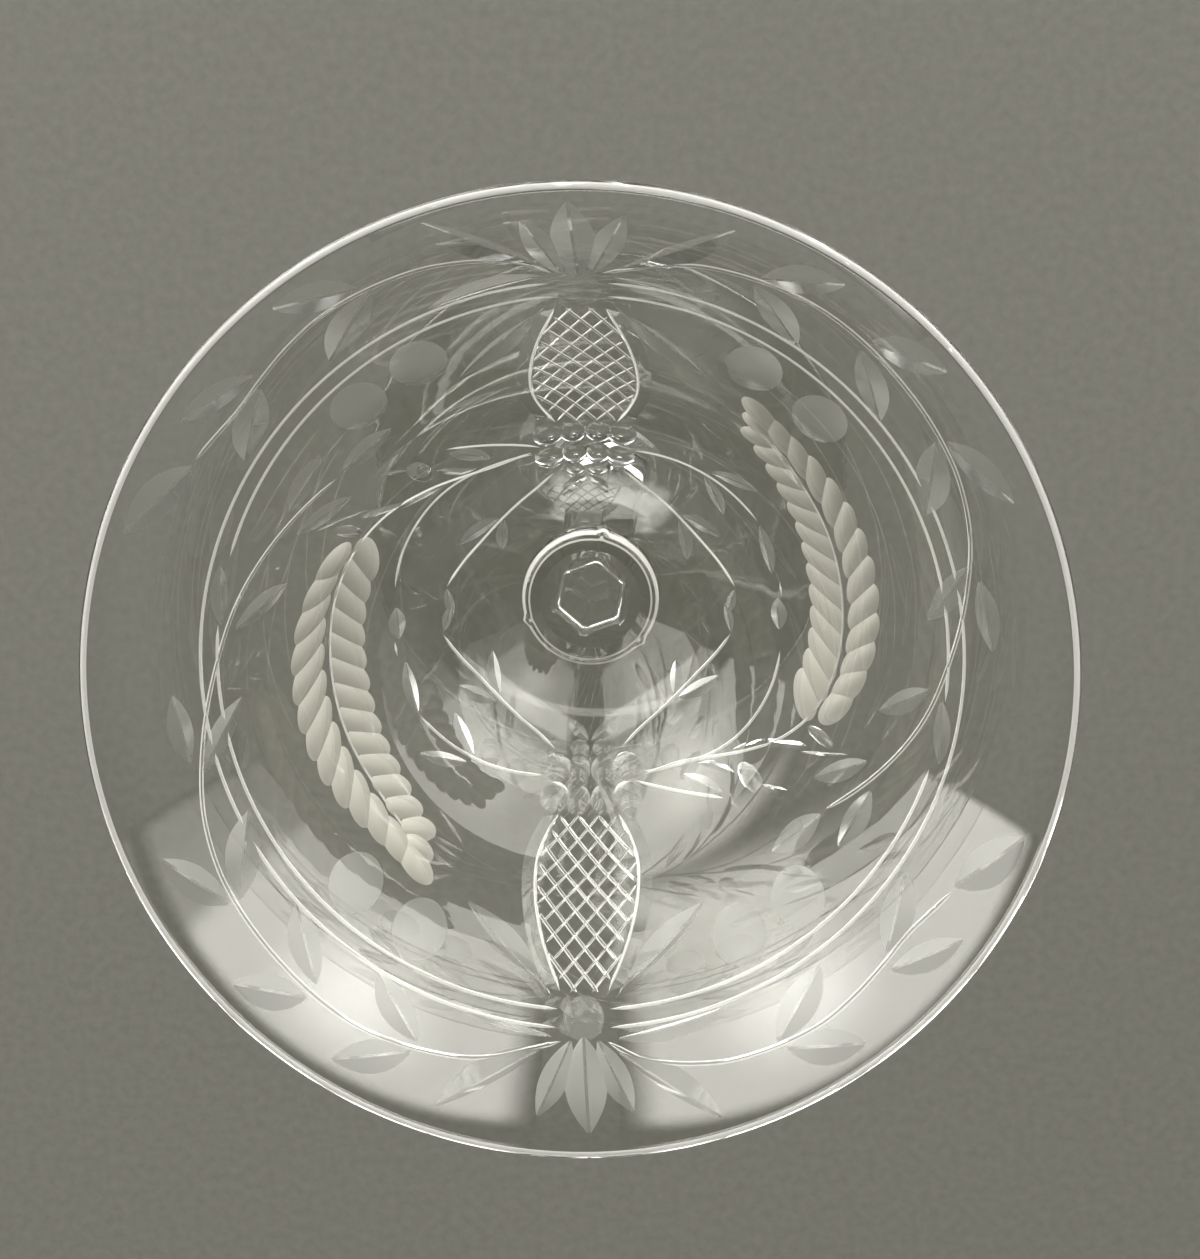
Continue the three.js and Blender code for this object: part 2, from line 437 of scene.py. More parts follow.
def on_wall(around, down, out):
    """Places on the wall: degrees around from the motif, mm down from the lip, mm out from the surface."""
    turn = np.radians(motif_angle + np.asarray(around, float))
    radius = wall_radius(down) + out * np.interp(down, wall_down, wall_out[:, 0])
    height = np.interp(down, wall_down, wall_line[:, 1]) + out * np.interp(down, wall_down, wall_out[:, 1])
    return np.stack([radius * np.cos(turn), radius * np.sin(turn), height], axis=-1)


print(f"the wall is {wall_down[-1]:.1f} mm long from lip to seat")

# %% [markdown]
# ## Cutting wheels
#
# A leaf is one dip of a mitre wheel, whose rim is a V with a narrow flat: the rim's arc gives the pointed
# outline, its two sides give the facets, and the flat leaves a bright midrib. A dot, a bead or a laurel
# leaf is one dip of an olive wheel, whose rim is round. Only the slice of the rim that enters the glass is
# needed, so a whole wheel is made from primitives and all but that slice is cut away with Bisect.

# %% Model the slice of each wheel
above_wall = 0.35
dip_length, dip_width, dip_depth = 10.0, 3.0, 0.4
rim_flat = 0.24
mitre_facets = 480
olive_segments, olive_rings = 32, 40


def keep_slice(name):
    """Keeps what lies below the lid of the object in edit mode, closes it and names it."""
    bpy.ops.mesh.select_all(action="SELECT")
    bpy.ops.mesh.normals_make_consistent(inside=False)
    bpy.ops.mesh.bisect(plane_co=(0, 0, above_wall * MM), plane_no=(0, 0, 1), use_fill=True,
                        clear_outer=True)
    bpy.ops.object.mode_set(mode="OBJECT")
    wheel = bpy.context.object
    wheel.name = name
    wheel.data.transform(wheel.matrix_world)
    wheel.matrix_world = Matrix.Identity(4)
    return wheel


def mitre_wheel():
    """Two cones base to base, turning on the Y axis, with the rim one dip below the wall and then bevelled
    to its narrow flat."""
    bpy.ops.object.select_all(action="DESELECT")
    radius = dip_length ** 2 / (8 * dip_depth) + dip_depth / 2
    half_thickness = radius * dip_width / 2 / dip_depth
    cone = {"vertices": mitre_facets, "radius1": radius * MM, "radius2": 0, "depth": half_thickness * MM,
            "end_fill_type": "NOTHING"}
    aside, middle = half_thickness / 2 * MM, (radius - dip_depth) * MM
    bpy.ops.mesh.primitive_cone_add(location=(0, aside, middle), rotation=(-math.pi / 2, 0, 0), **cone)
    bpy.ops.object.transform_apply()
    bpy.ops.object.mode_set(mode="EDIT")
    bpy.ops.mesh.primitive_cone_add(location=(0, -aside, middle), rotation=(math.pi / 2, 0, 0), **cone)
    bpy.ops.mesh.select_all(action="SELECT")
    bpy.ops.mesh.remove_doubles(threshold=weld)
    bpy.ops.mesh.select_mode(type="EDGE")
    bpy.ops.mesh.select_all(action="DESELECT")
    bpy.ops.object.mode_set(mode="OBJECT")
    wheel = bpy.context.object
    on_rim = [abs(point.co.y) < weld for point in wheel.data.vertices]
    for edge in wheel.data.edges:
        edge.select = all(on_rim[i] for i in edge.vertices)
    bpy.ops.object.mode_set(mode="EDIT")
    bpy.ops.mesh.bevel(offset=rim_flat / 2 * MM, segments=1)
    wheel = keep_slice("mitre_wheel_slice")
    for face in wheel.data.polygons:
        on_flat = abs(face.normal.y) < 0.1
        face.material_index = int(on_flat)
    return wheel


def olive_wheel():
    """A ball that dips below the wall. Stretched lengthwise it is the round rim of an olive wheel."""
    bpy.ops.object.select_all(action="DESELECT")
    radius = dip_width ** 2 / (8 * dip_depth) + dip_depth / 2
    bpy.ops.mesh.primitive_uv_sphere_add(
        segments=olive_segments, ring_count=olive_rings, radius=radius * MM,
        location=(0, 0, (radius - dip_depth) * MM))
    bpy.ops.object.transform_apply()
    bpy.ops.object.mode_set(mode="EDIT")
    wheel = keep_slice("olive_wheel_slice")
    move_points(wheel, points_of(wheel) * [dip_length / dip_width, 1, 1])
    return wheel


mitre = mitre_wheel()
olive = olive_wheel()
print("mitre slice", len(mitre.data.polygons), "faces, olive slice", len(olive.data.polygons), "faces")

# %% [markdown]
# ## Pressing a wheel into the wall
#
# Each dip is a copy of a wheel's slice with a mesh of its own, sized to its mark and bent onto the wall
# point by point. It could be placed flat with a rotation alone, but the wall curves away under the longer
# leaves and they would lose their ends. A groove is too long for one dip: its V is drawn at every mark of
# a smooth line, and the sections are joined into one cutter.

# %% Press a dip
cutters = bpy.data.collections.new("cutters")
bpy.context.scene.collection.children.link(cutters)


def dip(wheel, base, tip, width, depth, finish=polished_cut, left_share=0.5, bow=0.0):
    """Presses a wheel from base to tip, each given as (degrees around, mm down). left_share is the part
    of the width to the left of the midrib, and bow is how far the middle swings to the left."""
    (around_0, down_0), (around_1, down_1) = base, tip
    around, down = (around_0 + around_1) / 2, (down_0 + down_1) / 2
    per_degree = math.radians(1) * wall_radius(down)
    ahead = np.array([(around_1 - around_0) * per_degree, down_0 - down_1])
    length = np.linalg.norm(ahead)
    ahead /= length
    aside = np.array([-ahead[1], ahead[0]])
    flat = points_of(wheel) / [dip_length, dip_width, dip_depth]
    left = flat[:, 1] > 0
    flat[:, 1] *= np.where(left, 2 * left_share, 2 - 2 * left_share) * width
    flat[:, 1] += bow * (1 - 4 * flat[:, 0] ** 2)
    marks = np.outer(flat[:, 0] * length, ahead) + np.outer(flat[:, 1], aside)
    cutter = wheel.copy()
    cutter.data = wheel.data.copy()
    cutter.data.materials.append(finish)
    cutter.data.materials.append(polished_cut)
    cutters.objects.link(cutter)
    move_points(cutter, on_wall(around + marks[:, 0] / per_degree, down - marks[:, 1], flat[:, 2] * depth))
    return cutter


print("a whole dip is", dip_length, "mm long,", dip_width, "mm wide and", dip_depth, "mm deep")

# %% Run a groove
end_clearance = 0.1  # how far a groove's ends rise clear of the wall, as a share of its depth
least_core = 0.01  # the smallest polished bottom, as a share of the cutter's height


def through(points, steps):
    """A smooth line of marks through a few chosen ones."""
    p = np.array([points[0], *points, points[-1]], float)
    t = np.linspace(0, 1, steps, endpoint=False)[:, None]
    spans = [0.5 * (2 * b + (c - a) * t + (2 * a - 5 * b + 4 * c - d) * t ** 2
                    + (3 * b - a - 3 * c + d) * t ** 3) for a, b, c, d in zip(p, p[1:], p[2:], p[3:])]
    return np.vstack([*spans, p[-1:]])


def groove(points, width, depth, finish=polished_cut, left_share=0.5, lift=1.5, steps=6, core=0.02):
    """Runs a V wheel through the marks. It lifts out of the glass over the last millimetres at each end.
    left_share is the part of its width on the left of the V's bottom, and core is the share of its width,
    along that bottom, that is polished."""
    marks = through(points, steps)
    line = on_wall(marks[:, 0], marks[:, 1], 0)
    out = on_wall(marks[:, 0], marks[:, 1], 1) - line
    ahead = np.gradient(line, axis=0)
    ahead /= np.linalg.norm(ahead, axis=1)[:, None]
    left = np.cross(out, ahead)
    run = np.concatenate([[0], np.cumsum(np.linalg.norm(np.diff(line, axis=0), axis=1))])
    to_end = np.minimum(run, run[-1] - run)
    sunk = np.clip(to_end / min(lift, run[-1] / 2), 0, 1) * (1 + end_clearance) - end_clearance
    rise = (depth * sunk + above_wall)[:, None]
    slopes = width / depth * left_share, width / depth * (1 - left_share)
    keel = line - out * (depth * sunk)[:, None]
    core_rise = np.maximum((depth * core * sunk)[:, None], least_core * rise)
    rises = [rise, core_rise, 0 * rise, core_rise, rise]
    places = np.stack([keel + out * up + left * up * (slopes[0] if i < 2 else -slopes[1])
                       for i, up in enumerate(rises)], axis=1)
    across, count = len(rises), len(marks)
    last = across * (count - 1)
    faces = [tuple(range(across)), tuple(last + i for i in reversed(range(across)))]
    for first in range(0, last, across):
        for i in range(across):
            j = (i + 1) % across
            faces.append((first + i, first + across + i, first + across + j, first + j))
    mesh = bpy.data.meshes.new("groove")
    mesh.from_pydata((places.reshape(-1, 3) * MM).tolist(), [], faces)
    mesh.materials.append(finish)
    mesh.materials.append(polished_cut)
    for i, face in enumerate(mesh.polygons[2:]):
        face.material_index = int(i % across in (1, 2))
    cutter = bpy.data.objects.new("groove", mesh)
    cutters.objects.link(cutter)
    return cutter


print("cutters stand", above_wall, "mm above the wall")

# %% [markdown]
# ## The fan and the two sprays
#
# A fan of three petals and two long leaves opens from the junction of the motif up to the lip, and a spray
# of paired leaves runs away from it on each side along the flare. The left spray is long: it sinks past the
# ring lines and ends in a few loose leaves. A leaf's depth goes with its width, because one V wheel cuts
# them all. Each leaf below is the place of its base, the place of its tip and its width.

# %% Cut the fan
leaf_slope, petal_slope, long_leaf_slope = 0.12, 0.15, 0.17


def leaf(base, tip, width, slope=leaf_slope, finish=satin_cut, left_share=0.5, bow=0.0):
    """A dip of the mitre wheel whose depth is a share of its width."""
    return dip(mitre, base, tip, width, width * slope, finish=finish, left_share=left_share, bow=bow)


leaf((0, 12.6), (1, 1.7), 4.1, slope=petal_slope)
leaf((-1.8, 12), (-5.8, 3.3), 2.9, slope=petal_slope)
leaf((2.2, 12), (6.8, 3.7), 2.9, slope=petal_slope)
leaf((-5.5, 11), (-19, 2), 2.8, slope=long_leaf_slope, finish=polished_cut, left_share=0.82, bow=0.3)
leaf((5, 10.5), (18, 1.2), 2.8, slope=long_leaf_slope, finish=polished_cut, left_share=0.18, bow=-0.2)
leaf((5, 12), (22.5, 12.8), 2.0, left_share=0.8)
leaf((-5, 12.3), (-23, 13.7), 0.8)
dip(olive, (0, 17.3), (0, 11.8), 4.4, 0.1)

# %% Cut the sprays
spray_width, spray_depth, spray_core = 0.55, 0.2, 0.5
left_stem = [(-3, 11.8), (-8, 10.5), (-14, 8.7), (-20, 7.7), (-33, 6.6), (-48, 7.2), (-56, 7.7), (-62, 8.3),
             (-70, 9.8), (-80, 12.6), (-90, 15.4), (-100, 17.9), (-110, 21), (-125, 26)]
left_leaves = [
    ((-23.7, 8.0), (-33.5, 13.0), 3.6), ((-24.0, 6.9), (-33.3, 2.2), 3.6),
    ((-40.0, 7.8), (-50.0, 13.2), 3.6), ((-40.0, 6.2), (-49.0, 1.9), 3.84),
    ((-56.0, 8.2), (-66.0, 14.8), 4.08), ((-56.5, 7.3), (-67.0, 3.2), 3.6),
    ((-74.5, 11.2), (-83.5, 18.5), 2.64), ((-76.5, 10.2), (-87.0, 9.6), 3.12),
    ((-96.0, 16.0), (-106.0, 14.4), 2.4), ((-95.0, 17.8), (-102.5, 25.0), 2.4),
    ((-116.0, 21.7), (-128.0, 21.2), 3.6), ((-112.0, 24.0), (-122.0, 30.2), 2.4),
    ((-126.0, 26.0), (-139.0, 27.5), 3.84),
]
right_stem = [(3.5, 11.8), (8, 9.6), (12, 8.5), (17, 7.5), (22, 6.8), (33, 6.2), (40, 6.6), (46, 7.2),
              (52, 7.5), (60, 6.4)]
right_leaves = [
    ((27.5, 6.8), (38.3, 11.9), 4.08), ((28.5, 5.8), (38.2, 1.8), 3.84),
    ((47.0, 7.8), (57.5, 12.2), 4.08), ((46.0, 6.2), (56.0, 2.4), 3.12),
    ((60.3, 6.6), (71.0, 2.0), 4.56),
]
for stalk, leaves in ((left_stem, left_leaves), (right_stem, right_leaves)):
    groove(stalk, spray_width, spray_depth, finish=ground_line, core=spray_core)
    for base, tip, width in leaves:
        leaf(base, tip, width)

# %% [markdown]
# ## Ring lines, dots and the hatched oval
#
# Two fine lines ring the bowl under the fan and stop at the junctions. Four satin dots hang below them. In
# the middle is an oval, hatched in diamonds by two sets of parallel grooves and framed by a wide mitre with
# a steep inner side. The hatching is worked out in millimetres on the wall, so that its diamonds keep their
# shape where the bowl narrows.

# %% Cut the rings and the dots
ring_width, ring_depth, ring_marks = 0.45, 0.2, 30
ring_levels = [(15.5, [(4, 73), (83.5, 176)]), (13.3, [(4, 176)])]
for down, arcs in ring_levels:
    for first, last in arcs:
        marks = [(around, down) for around in np.linspace(first, last, ring_marks)]
        groove(marks, ring_width, ring_depth, finish=ground_line)

dot_down, dot_width, dot_height, dot_depth = 20.3, 5.9, 8.1, 0.28


def dot(around, down, height, width, depth, finish=polished_cut):
    """An upright dip of the olive wheel, with its middle at a mark."""
    return dip(olive, (around, down + height / 2), (around, down - height / 2), width, depth, finish=finish)


for around in (-44.5, -30.5, 28.5, 41):
    dot(around, dot_down, dot_height, dot_width, dot_depth, finish=satin_cut)

# %% Frame the oval
oval_side = [(4, 17.5), (6.5, 21), (9, 25), (11.3, 30), (12.3, 35), (11, 39), (8.5, 42)]
sprig = [(5, 16.5), (8, 19), (13, 22), (18, 24.3), (24.5, 26.3)]
mitre_width, mitre_depth = 1.9, 0.25
edge_line_width, edge_line_depth = 0.45, 0.4
sprig_width, sprig_depth = 0.3, 0.15
steep, gentle = 0.15, 0.85  # shares of a V's width
for side in (-1, 1):
    edge = [(side * around, down) for around, down in oval_side]
    groove(edge, mitre_width, mitre_depth, left_share=steep if side < 0 else gentle)
    groove(edge, edge_line_width, edge_line_depth, finish=ground_line)
    groove([(side * around, down) for around, down in sprig], sprig_width, sprig_depth)
    leaf((side * 7.5, 18.5), (side * 24.5, 26.4), 2.8, slope=petal_slope,
         left_share=gentle if side < 0 else steep)

# %% Hatch the oval
hatch_angle, hatch_gap, hatch_depth, hatch_core = 56, 1.9, 0.24, 0.5
hatch_widths = {-1: 0.32, 1: 0.44}  # the two sets aren't cut by the same wheel
hatch_reach, hatch_margin, hatch_lift = 18, 0.4, 0.5
lines_each_way, hatch_marks = 6, 6
hatch_trials, fewest_trials = 361, 20
oval_middle = 30
oval_edge = through(oval_side, 8)


def hatch_line(offset, side):
    """A straight groove across the oval, that far from its middle, kept inside the outline."""
    turn = math.radians(hatch_angle * side)
    ahead = np.array([math.cos(turn), math.sin(turn)])
    aside = np.array([-ahead[1], ahead[0]])
    marks = np.outer(np.linspace(-hatch_reach, hatch_reach, hatch_trials), ahead) + offset * aside
    down = oval_middle - marks[:, 1]
    around = np.degrees(marks[:, 0] / wall_radius(down))
    room = np.interp(down, oval_edge[:, 1], oval_edge[:, 0], left=0, right=0)
    inside = np.flatnonzero(np.abs(around) < room - hatch_margin)
    if len(inside) > fewest_trials:
        picked = inside[np.linspace(0, len(inside) - 1, hatch_marks).astype(int)]
        groove(list(zip(around[picked], down[picked])), hatch_widths[side], hatch_depth,
               finish=ground_line, lift=hatch_lift, steps=3, core=hatch_core)


for side in (-1, 1):
    for step in range(-lines_each_way, lines_each_way + 1):
        hatch_line(step * hatch_gap, side)

# %% [markdown]
# ## Beads, sprigs and the inner lines
#
# Below the oval sits a cluster of round beads, shallow polished dips that overlap a little. Thin stems
# leave it on both sides, with slim leaves along them. Near the bottom of the bowl they are seen through
# thick glass, so these leaves are cut steeper than those of the outer sprays.

# %% Cut the beads
bead_slope = 0.1
bead_rows = [(44, 4.2, [(-10.5, 3.4), (-3.5, 3.0), (4.5, 3.0), (12, 3.4)]),
             (48, 3.8, [(-11.5, 3.4), (-3.8, 2.8), (4.8, 2.8), (13.5, 3.4)]),
             (50.8, 2.4, [(-4, 2.2), (5, 2.2)])]
for down, height, beads in bead_rows:
    for around, width in beads:
        dot(around, down, height, width, bead_slope * width)
leaf((-0.5, 51.8), (-10.5, 54.6), 1.5, finish=polished_cut)
leaf((0.5, 51.8), (14, 54.7), 1.7, finish=polished_cut)

# %% Cut the inner stems and their leaves
inner_stem_width, inner_stem_depth = 0.4, 0.2
inner_slope = 0.16
inner_stems = [
    [(18, 46.8), (30, 45.7), (40, 44.5), (50, 43.5), (60, 43), (70, 42.8), (81, 43)],
    [(-15, 46.6), (-30, 45.2), (-45, 43.9), (-60, 42.8)],
    [(13, 50.7), (22, 52.2), (32, 53), (45, 53.4), (58, 53.1), (70, 52), (81, 50.6)],
    [(-13, 50.2), (-22, 51.6), (-32, 52.3), (-45, 52.8), (-58, 52.5), (-70, 51.4), (-81, 50)],
    [(96.5, 43), (101.5, 43)],
]
for marks in inner_stems:
    groove(marks, inner_stem_width, inner_stem_depth, finish=ground_line)
inner_leaves = [
    ((86.5, 43.5), (96.5, 43.7), 2.5), ((-60.5, 42.8), (-76.5, 44.0), 2.0),
    ((-39.0, 44.7), (-53.5, 47.1), 1.8), ((-39.5, 43.5), (-52.0, 39.6), 1.8),
    ((81.0, 50.6), (93.0, 51.8), 1.3), ((43.5, 53.6), (57.0, 56.5), 1.6),
    ((44.0, 53.0), (63.0, 50.4), 1.9), ((-81.5, 50.2), (-92.0, 51.6), 1.3),
    ((-45.0, 53.0), (-65.0, 55.8), 1.7), ((-44.5, 52.2), (-60.0, 49.6), 1.8),
    ((30.5, 44.3), (38.2, 39.0), 1.9),
]
for base, tip, width in inner_leaves:
    leaf(base, tip, width, slope=inner_slope)

# %% Cut the loose sprig on the right
loose_stem = [(15, 46), (24, 43.5), (30, 41.5), (35, 39.5), (38, 38)]
groove(loose_stem, inner_stem_width, inner_stem_depth, finish=ground_line)
loose_cuts = [  # marks, width and depth
    ([(35.5, 44.5), (40, 43), (44.2, 39.7)], 0.9, 0.25),
    ([(47.5, 36.2), (51.8, 32.2)], 0.5, 0.2),
    ([(47, 42.8), (55, 40), (59, 37), (62.5, 33.5)], 0.9, 0.25),
    ([(60, 34.5), (66.8, 27)], 0.35, 0.14),
]
for marks, width, depth in loose_cuts:
    groove(marks, width, depth)
loose_buds = [((46.5, 40.5), (46.5, 35.5), 2.3, 0.3), ((66, 35.1), (66, 29.9), 1.4, 0.25)]
for base, tip, width, depth in loose_buds:
    dip(olive, base, tip, width, depth)

# %% [markdown]
# ## The laurel
#
# The laurel is left matt. Its leaves are dips of the olive wheel, laid close enough to overlap, in two rows
# along a white midrib. They lengthen from the stalk and shorten again to the tip, where one leaf ends the
# branch. The row on the lip side stands off the midrib and the inner row touches it.

# %% Cut the laurel
midrib_width, midrib_depth = 0.4, 0.25
laurel_midrib = [(18, 46.4), (30, 46), (40, 44.2), (50, 41.2), (60, 37.8), (70, 35.2), (80, 33.7),
                 (90, 32.9), (110, 31.9), (125, 31.5), (135, 30.6), (142, 29.6)]
laurel_pairs, laurel_first, laurel_last = 13, 70, 138.5
laurel_swing = 9  # degrees around that a leaf covers
lip_width, lip_depth = 3.5, 0.95
inner_width, inner_taper, inner_fold, inner_depth = 4.0, 0.7, 0.4, 0.75
groove(laurel_midrib, midrib_width, midrib_depth, finish=ground_line)
laurel_line = through(laurel_midrib, 8)


def leaf_reach(share, least, more, first, rate):
    """How far a leaf reaches from the midrib: it grows from the stalk on and shrinks again to the tip."""
    return least + more * math.sin(math.pi * min(1, first + rate * share))


for i in range(laurel_pairs):
    share = i / (laurel_pairs - 1)
    around = laurel_first + share * (laurel_last - laurel_first)
    rib = np.interp(around, laurel_line[:, 0], laurel_line[:, 1])
    lip_tip = (around + laurel_swing, rib - leaf_reach(share, 4.2, 2.8, 0.15, 0.95))
    dip(olive, (around - 1, rib - 1.2), lip_tip, lip_width, lip_depth, finish=ground_cut)
    inner_swing = laurel_swing * (1 - inner_fold * share ** 2)
    inner_tip = (around - 1 + inner_swing, rib + leaf_reach(share, 3.0, 2.4, 0.16, 0.84))
    dip(olive, (around - 2.5, rib), inner_tip, inner_width - inner_taper * share ** 2, inner_depth,
        finish=ground_cut)
dip(olive, (138, 30.1), (145.5, 28.9), 2.9, lip_depth, finish=ground_cut)

# %% [markdown]
# ## Cutting the bowl
#
# The second motif is the first turned half round. All cutters go into one Boolean modifier that takes a
# whole collection, and it hands each cutter's finish on to the faces that it leaves. A Boolean breaks
# wall faces into odd shapes, and smooth shading would then smudge the reflections beside every cut. So the
# wall's normals are set from the drawn section again, and only the cuts keep the normals of their mesh.

# %% Turn the motif and cut
cut_crease = 9
for cutter in list(cutters.objects):
    twin = cutter.copy()
    twin.data = cutter.data.copy()
    twin.data.transform(Matrix.Rotation(math.pi, 4, "Z"))
    cutters.objects.link(twin)
for wheel in (mitre, olive):
    bpy.data.objects.remove(wheel)

select_only(bowl)
cutting = bowl.modifiers.new("wheel_cutting", "BOOLEAN")
cutting.operation = "DIFFERENCE"
cutting.operand_type = "COLLECTION"
cutting.collection = cutters
cutting.solver = "MANIFOLD"
cutting.material_mode = "TRANSFER"
cut_count = len(cutters.objects)
bpy.ops.object.modifier_apply(modifier=cutting.name)
for cutter in list(cutters.objects):
    bpy.data.objects.remove(cutter)
bpy.data.collections.remove(cutters)
shade(bowl, cut_crease)
print(cut_count, "cuts leave", len(bowl.data.polygons), "faces in", [m.name for m in bowl.data.materials])


# %% Set the wall's normals from the drawn section
skin_marks = 4000


def section_normals(runs):
    """Points along the runs and the directions that point out of the glass there."""
    places, normals = [], []
    for controls, _ in runs:
        line = along(controls, skin_marks)
        ahead = np.gradient(line, axis=0)
        ahead /= np.linalg.norm(ahead, axis=1)[:, None]
        places.append(line)
        normals.append(np.stack([ahead[:, 1], -ahead[:, 0]], axis=1))
    return np.vstack(places), np.vstack(normals)


skin_places, skin_normals = section_normals(bowl_skin)
skin = KDTree(len(skin_places))
for i, (radius, height) in enumerate(skin_places):
    skin.insert((radius, height, 0), i)
skin.balance()

mesh = bowl.data
normals = np.empty(3 * len(mesh.loops))
mesh.corner_normals.foreach_get("vector", normals)
normals = normals.reshape(-1, 3)
bowl_points = points_of(bowl)
for face in mesh.polygons:
    if face.material_index in (0, lip_index):
        for corner in face.loop_indices:
            x, y, z = bowl_points[mesh.loops[corner].vertex_index]
            radius = math.hypot(x, y)
            nearest = skin_normals[skin.find((radius, z, 0))[1]]
            if radius > near:
                normals[corner] = (nearest[0] * x / radius, nearest[0] * y / radius, nearest[1])
            else:
                normals[corner] = (0, 0, nearest[1])
mesh.normals_split_custom_set(normals.tolist())
print("wall normals set on", sum(face.material_index == 0 for face in mesh.polygons), "faces")

# %% [markdown]
# ## The collar
#
# The collar is a pressed button between the bowl and the stem, and it shows through the bottom of the bowl
# as a bright ring. A press mould in three parts leaves a small nub where each seam crosses its round edge.
# The button is spun, and the nubs are pulled out of its edge with a smooth fall-off. Two bands of its upper
# edge show as white rings where light gathers in it, so they are painted white with the lip's painted
# highlight.

# %% Spin the collar and raise its seams
collar_diameter, collar_edge_radius = 16.6, 1.1
stem_seat_radius = 5.5
seam_angles = (79, 199, 319)
nub_height, nub_half_width = 0.35, 0.5
# Faces of the upper edge at these slopes are painted white: a painted highlight, as on the lip
highlight_slopes = ((0, 40), (66, 80))  # degrees that a face of the upper edge is turned up from level
pressed_crease = 30

collar_radius = collar_diameter / 2
collar_flat = collar_radius - collar_edge_radius
collar_lower = (collar_flat, stem_top + collar_edge_radius)
collar_upper = (collar_flat, collar_top - collar_edge_radius)
collar = spun("collar_glass", [
    straight((0, stem_top), (stem_seat_radius, stem_top)),
    straight((stem_seat_radius, stem_top), (collar_flat, stem_top)),
    quarter_round(collar_lower, collar_edge_radius, -90, round_steps),
    sweep((collar_radius, collar_lower[1]), leaning(0), (collar_radius, collar_upper[1]), leaning(0), 6),
    quarter_round(collar_upper, collar_edge_radius, 0, round_steps),
    straight((collar_flat, collar_top), bowl_seat),
    straight(bowl_seat, (0, collar_top)),
])
places = points_of(collar)
radius = np.hypot(places[:, 0], places[:, 1])
turn = np.degrees(np.arctan2(places[:, 1], places[:, 0]))
proud = np.clip((radius - collar_flat) / collar_edge_radius, 0, 1)
for angle in seam_angles:
    aside = np.radians((turn - angle + 180) % 360 - 180) * collar_radius
    pulled = nub_height * proud * np.exp(-(aside / nub_half_width) ** 2)
    places[:, :2] *= (1 + pulled / np.maximum(radius, 1))[:, None]
move_points(collar, places)
give_finish(collar, pressed_crystal, [(stem_top, stem_seat_radius), (collar_top, bowl_seat_radius)])
# Two bands of the upper edge take the lip's painted highlight
collar.data.materials.append(lip_highlight)
for face in collar.data.polygons:
    height = face.center.z / MM
    slope = math.degrees(math.asin(max(-1, min(1, face.normal.z))))
    highlighted = any(low < slope < high for low, high in highlight_slopes)
    if highlighted and height > collar_top - collar_edge_radius:
        face.material_index = 2
shade(collar, pressed_crease)
print("collar:", len(collar.data.polygons), "faces and", len(seam_angles), "seams")

# %% [markdown]
# ## The stem
#
# The stem is pressed: a round blank that flares to its seat on the foot and opens to a disc under the
# collar, with six long panels that are slightly hollow along their length. Cutting six planes from the
# blank with a Boolean would leave knife edges, and pressed glass has soft ones. So the blank is spun, and
# each point is then moved in to where the blank and the panels meet, with a formula that rounds the edges
# between them.

# %% Spin the blank of the stem
sides, first_edge = 6, 19
foot_flare_radius = 6.5
heel_height, neck_height, neck_rise = 6.0, 1.8, 0.45
neck_flat, waist_flat, heel_flat = 7.3, 6.2, 7.8
blank_allowance = 0.1
flare_lean, heel_lean, neck_lean = -60, -4, 2
disc_leave, disc_arrive = 60, 50
blank_steps, disc_steps, disc_edge_steps = 20, 8, 24

neck, heel = stem_top - neck_height, foot_seat_height + heel_height
stem_middle = (stem_top + foot_seat_height) / 2


def blank(flat, height):
    """A point of the round blank beside a panel of that width across the flats."""
    return (flat / 2 / math.cos(math.pi / sides) + blank_allowance, height)


upright = leaning(0)
foot_seat, stem_seat = (foot_flare_radius, foot_seat_height), (stem_seat_radius, stem_top)
blank_heel, blank_waist = blank(heel_flat, heel), blank(waist_flat, stem_middle)
blank_neck, disc_edge = blank(neck_flat, neck), (stem_seat_radius, neck + neck_rise)
stem = spun("stem_glass", [
    straight((0, foot_seat_height), foot_seat),
    sweep(foot_seat, leaning(flare_lean), blank_heel, leaning(heel_lean), blank_steps),
    sweep(blank_heel, leaning(heel_lean), blank_waist, upright, blank_steps),
    sweep(blank_waist, upright, blank_neck, leaning(neck_lean), blank_steps),
    sweep(blank_neck, leaning(disc_leave), disc_edge, leaning(disc_arrive), disc_steps),
    sweep(disc_edge, upright, stem_seat, upright, disc_edge_steps),
    straight(stem_seat, (0, stem_top)),
])
print("blank of the stem:", len(stem.data.polygons), "faces")

# %% Press the panels
heel_round, neck_round, round_turn = 7.0, 1.6, 80
panel_marks, end_marks = 60, 40
edge_softness = 45

panel_waist = (waist_flat / 2, stem_middle)
lower_panel, _ = sweep((heel_flat / 2, heel), upright, panel_waist, upright, 1)
upper_panel, _ = sweep(panel_waist, upright, (neck_flat / 2, neck), upright, 1)
end_turns = np.radians(np.linspace(0, round_turn, end_marks))[1:]
run_out, run_up = 1 - np.cos(end_turns), np.sin(end_turns)
panel_line = np.vstack([
    np.stack([heel_flat / 2 + heel_round * run_out, heel - heel_round * run_up], axis=1)[::-1],
    along(lower_panel, panel_marks),
    along(upper_panel, panel_marks)[1:],
    np.stack([neck_flat / 2 + neck_round * run_out, neck + neck_round * run_up], axis=1),
    [(1.1 * stem_seat_radius, neck + neck_round)],
])

